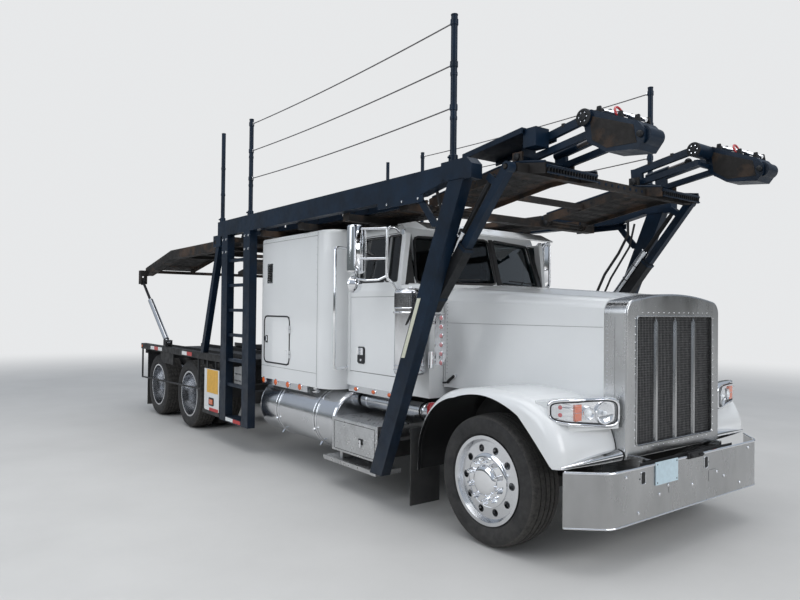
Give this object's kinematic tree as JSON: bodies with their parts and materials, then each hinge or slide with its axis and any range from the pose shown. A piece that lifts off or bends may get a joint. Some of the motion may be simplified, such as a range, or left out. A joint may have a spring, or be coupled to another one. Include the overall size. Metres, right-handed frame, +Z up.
{
  "type": "car transporter truck",
  "caption": "Long-nosed truck with sleeper cab, vehicle rack over the cab, tilting loading decks, low deck over twin drive axles and a drop coupling for its trailer.",
  "frame": {"origin": "centre of the whole truck's bounding box, on the ground under the wheels", "axes": "+Z up; -Y towards the front bumper; -X towards the truck's right-hand side"},
  "size_m": [2.604, 10.165, 3.77],
  "materials": {
    "white_paint": "gloss",
    "navy_paint": "gloss",
    "dark_steel": "satin",
    "deck_steel": "worn satin",
    "polished_steel": "polished",
    "aluminium": "polished",
    "tyre": "matte",
    "rubber": "matte",
    "glass": "gloss",
    "lamp_glass": "gloss",
    "cab_lining": "matte"
  },
  "bodies": {
    "chassis": {"frame": "dark_steel", "axles": "dark_steel", "suspension": "dark_steel", "engine": "dark_steel", "bumper": "polished_steel", "cab": "white_paint", "windscreen": "glass", "interior": "cab_lining", "sleeper": "white_paint", "tanks": "aluminium", "step_boxes": "aluminium", "air_cleaners": "aluminium", "rack_rails": "navy_paint", "rack_posts": "navy_paint", "ladder_rungs": "navy_paint", "upper_deck": "deck_steel", "low_deck": "deck_steel", "stinger": "dark_steel", "side_fittings": "rubber", "light_strips": "polished_steel"},
    "knuckle_right": {"knuckle_right": "dark_steel"},
    "knuckle_left": {"knuckle_left": "dark_steel"},
    "front_wheel_right": {"front_tyre_right": "tyre", "front_wheel_right": "aluminium"},
    "front_wheel_left": {"front_tyre_left": "tyre", "front_wheel_left": "aluminium"},
    "track_rod": {"track_rod": "dark_steel"},
    "steering_wheel": {"steering_wheel": "cab_lining"},
    "door_right": {"door_right": "white_paint", "door_glass_right": "glass", "mirror_right": "polished_steel"},
    "door_left": {"door_left": "white_paint", "door_glass_left": "glass", "mirror_left": "polished_steel"},
    "locker_door_right": {"locker_door_right": "white_paint"},
    "locker_door_left": {"locker_door_left": "white_paint"},
    "hood": {"hood": "white_paint", "nose": "polished_steel", "grille": "polished_steel", "fenders": "white_paint", "headlamps": "lamp_glass"},
    "front_platform": {"front_platform": "navy_paint"},
    "loading_arm_right": {"loading_arm_right": "navy_paint"},
    "loading_arm_left": {"loading_arm_left": "navy_paint"},
    "deck_supports": {"deck_legs": "navy_paint", "deck_rams": "aluminium"},
    "deck_support_slides": {"deck_leg_slides": "navy_paint", "deck_ram_rods": "polished_steel"},
    "tail_deck": {"tail_deck": "deck_steel"},
    "tail_rams": {"tail_rams": "dark_steel"},
    "tail_ram_rods": {"tail_ram_rods": "polished_steel"},
    "drive_wheels_1_right": {"drive_tyres_1_right": "tyre", "drive_wheels_1_right": "aluminium"},
    "drive_wheels_1_left": {"drive_tyres_1_left": "tyre", "drive_wheels_1_left": "aluminium"},
    "drive_wheels_2_right": {"drive_tyres_2_right": "tyre", "drive_wheels_2_right": "aluminium"},
    "drive_wheels_2_left": {"drive_tyres_2_left": "tyre", "drive_wheels_2_left": "aluminium"}
  },
  "joints": [
    {"name": "steer_right", "type": "hinge", "parent": "chassis", "child": "knuckle_right", "pos_m": [-0.8, -4.0175, 0.455], "axis": [0, 0, 1], "range_deg": [-35, 35]},
    {"name": "steer_left", "type": "hinge", "parent": "chassis", "child": "knuckle_left", "pos_m": [0.8, -4.0175, 0.455], "axis": [0, 0, 1], "range_deg": [-36, 36]},
    {"name": "front_wheel_right_spin", "type": "hinge", "parent": "knuckle_right", "child": "front_wheel_right", "pos_m": [-1.02, -4.0175, 0.455], "axis": [1, 0, 0], "continuous": true},
    {"name": "front_wheel_left_spin", "type": "hinge", "parent": "knuckle_left", "child": "front_wheel_left", "pos_m": [1.02, -4.0175, 0.455], "axis": [1, 0, 0], "continuous": true},
    {"name": "track_rod_slide", "type": "slide", "parent": "chassis", "child": "track_rod", "axis": [1, 0, 0], "range_m": [-0.13, 0.13]},
    {"name": "steering_wheel_turn", "type": "hinge", "parent": "chassis", "child": "steering_wheel", "pos_m": [0.45, -2.6475, 1.665], "axis": [0, 0.922, 0.3872], "range_deg": [-600, 600]},
    {"name": "drive_wheels_1_right_spin", "type": "hinge", "parent": "chassis", "child": "drive_wheels_1_right", "pos_m": [-1.06, 1.6365, 0.455], "axis": [1, 0, 0], "continuous": true},
    {"name": "drive_wheels_1_left_spin", "type": "hinge", "parent": "chassis", "child": "drive_wheels_1_left", "pos_m": [1.06, 1.6365, 0.455], "axis": [1, 0, 0], "continuous": true},
    {"name": "drive_wheels_2_right_spin", "type": "hinge", "parent": "chassis", "child": "drive_wheels_2_right", "pos_m": [-1.06, 2.9585, 0.455], "axis": [1, 0, 0], "continuous": true},
    {"name": "drive_wheels_2_left_spin", "type": "hinge", "parent": "chassis", "child": "drive_wheels_2_left", "pos_m": [1.06, 2.9585, 0.455], "axis": [1, 0, 0], "continuous": true},
    {"name": "door_right_hinge", "type": "hinge", "parent": "chassis", "child": "door_right", "pos_m": [-0.97, -2.7775, 1.6], "axis": [0, 0, 1], "range_deg": [0, 70]},
    {"name": "door_left_hinge", "type": "hinge", "parent": "chassis", "child": "door_left", "pos_m": [0.97, -2.7775, 1.6], "axis": [0, 0, -1], "range_deg": [0, 70]},
    {"name": "locker_right_hinge", "type": "hinge", "parent": "chassis", "child": "locker_door_right", "pos_m": [-1.17, -1.1275, 1.295], "axis": [0, 0, 1], "range_deg": [0, 90]},
    {"name": "locker_left_hinge", "type": "hinge", "parent": "chassis", "child": "locker_door_left", "pos_m": [1.17, -1.1275, 1.295], "axis": [0, 0, -1], "range_deg": [0, 90]},
    {"name": "hood_hinge", "type": "hinge", "parent": "chassis", "child": "hood", "pos_m": [0, -4.7975, 0.64], "axis": [1, 0, 0], "range_deg": [0, 28]},
    {"name": "platform_tilt", "type": "hinge", "parent": "chassis", "child": "front_platform", "pos_m": [0, -3.2075, 2.462], "axis": [-1, 0, 0], "range_deg": [0, 16]},
    {"name": "loading_arm_right_hinge", "type": "hinge", "parent": "front_platform", "child": "loading_arm_right", "pos_m": [-0.7, -4.1375, 2.712], "axis": [-1, 0, 0], "range_deg": [-3, 14]},
    {"name": "loading_arm_left_hinge", "type": "hinge", "parent": "front_platform", "child": "loading_arm_left", "pos_m": [0.7, -4.1375, 2.712], "axis": [-1, 0, 0], "range_deg": [-3, 14]},
    {"name": "deck_supports_swing", "type": "hinge", "parent": "chassis", "child": "deck_supports", "pos_m": [0, -3.4575, 1.66], "axis": [-1, 0, 0], "range_deg": [-1, 11]},
    {"name": "deck_supports_extend", "type": "slide", "parent": "deck_supports", "child": "deck_support_slides", "axis": [0, -0.6267, 0.7793], "range_m": [-0.005, 0.2]},
    {"name": "tail_deck_tilt", "type": "hinge", "parent": "chassis", "child": "tail_deck", "pos_m": [0, 0.5825, 2.44], "axis": [1, 0, 0], "range_deg": [-7, 2]},
    {"name": "tail_rams_swing", "type": "hinge", "parent": "chassis", "child": "tail_rams", "pos_m": [0, 2.4825, 1.11], "axis": [1, 0, 0], "range_deg": [-12, 4]},
    {"name": "tail_rams_extend", "type": "slide", "parent": "tail_rams", "child": "tail_ram_rods", "axis": [0, 0.8053, 0.5929], "range_m": [-0.27, 0.09]}
  ],
  "couplings": [
    {"joint": "steer_left", "follows": "steer_right", "ratio": 1},
    {"joint": "track_rod_slide", "follows": "steer_right", "m_per_rad": -0.186},
    {"joint": "steering_wheel_turn", "follows": "steer_right", "ratio": 16},
    {"joint": "deck_supports_swing", "follows": "platform_tilt", "ratio": 0.6},
    {"joint": "deck_supports_extend", "follows": "platform_tilt", "m_per_rad": 0.66},
    {"joint": "tail_rams_swing", "follows": "tail_deck_tilt", "ratio": 1.6},
    {"joint": "tail_rams_extend", "follows": "tail_deck_tilt", "m_per_rad": 2.14}
  ]
}
